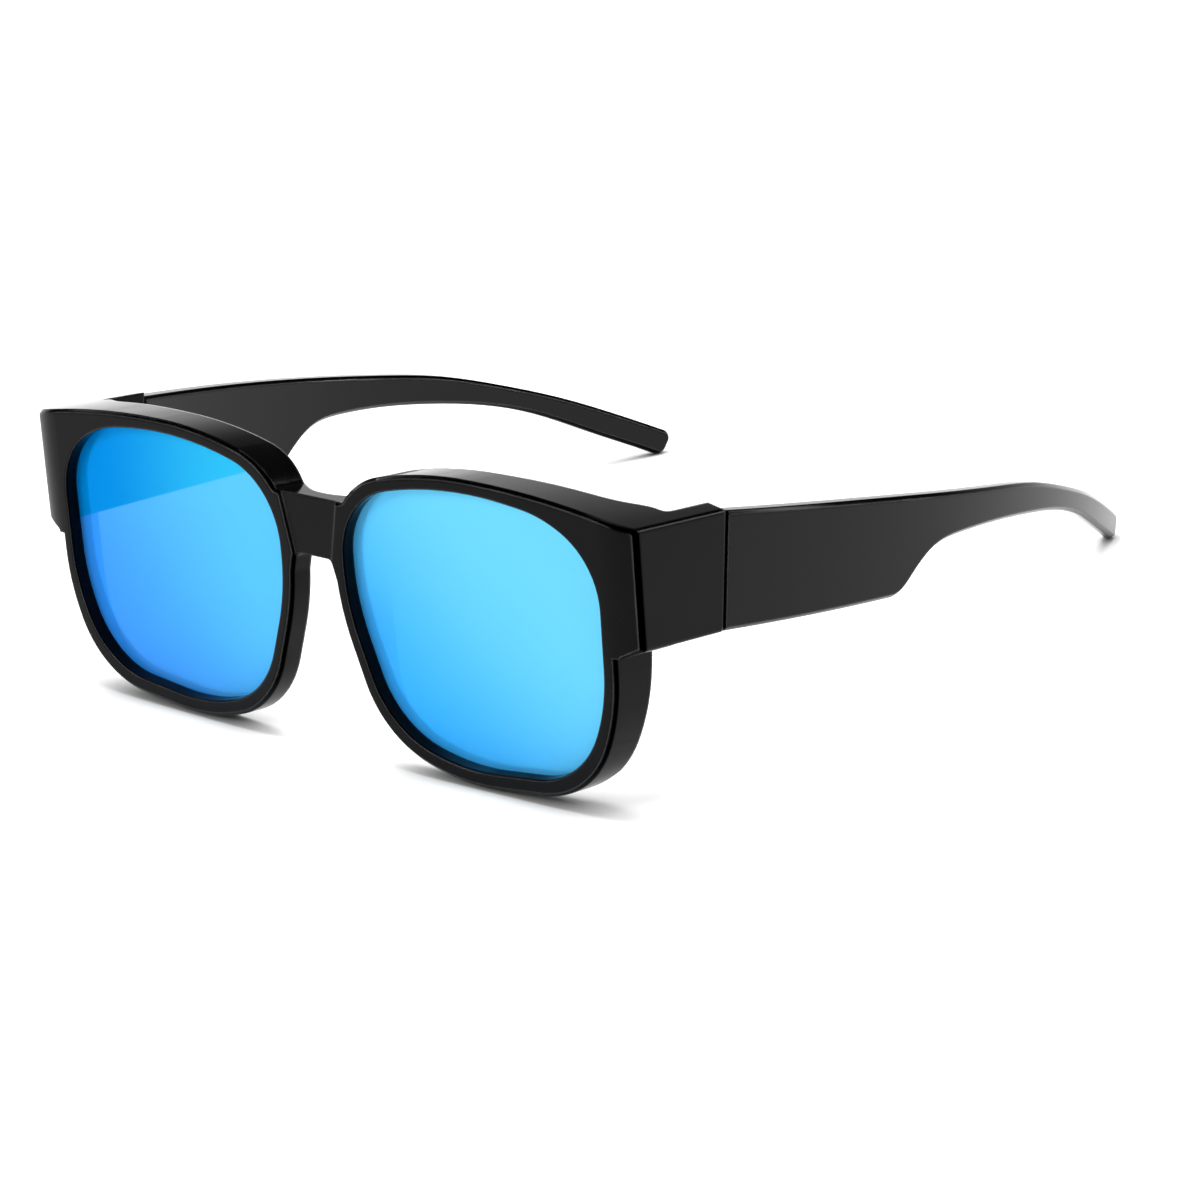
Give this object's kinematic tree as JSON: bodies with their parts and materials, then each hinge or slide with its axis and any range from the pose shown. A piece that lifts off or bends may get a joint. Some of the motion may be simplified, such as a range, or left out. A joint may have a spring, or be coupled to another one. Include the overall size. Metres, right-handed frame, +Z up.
{
  "type": "fitover sunglasses",
  "caption": "Large wraparound sunglasses worn over other glasses, with a one-piece front, mirrored lenses, side shields and folding temples on metal hinges.",
  "frame": {"origin": "on the floor under the middle of the open sunglasses, which rest on the lower rims and the temple tips", "axes": "+X towards the wearer's left, +Y from the lenses back to the temple tips, +Z up"},
  "size_m": [0.163, 0.1663, 0.0579],
  "materials": {
    "frame": "polished injection moulded plastic",
    "lens": "blue mirror coating on a plastic lens",
    "hinge": "stamped steel",
    "screw": "turned steel"
  },
  "bodies": {
    "front": {"front_frame": "frame", "lens_left": "lens", "lens_right": "lens", "front_leaf_left": "hinge", "front_leaf_right": "hinge", "hinge_screw_left": "screw", "hinge_screw_right": "screw", "front_leaf_screws_left": "screw", "front_leaf_screws_right": "screw"},
    "left_temple": {"temple_left": "frame", "temple_leaf_left": "hinge", "temple_leaf_screws_left": "screw"},
    "right_temple": {"temple_right": "frame", "temple_leaf_right": "hinge", "temple_leaf_screws_right": "screw"}
  },
  "joints": [
    {"name": "left_temple_fold", "type": "hinge", "parent": "front", "child": "left_temple", "pos_m": [0.06975, -0.05582, 0.03986], "axis": [0, 0.1478, 0.989], "range_deg": [0, 88]},
    {"name": "right_temple_fold", "type": "hinge", "parent": "front", "child": "right_temple", "pos_m": [-0.06975, -0.05582, 0.03986], "axis": [0, 0.1478, 0.989], "range_deg": [-79, 0]}
  ]
}
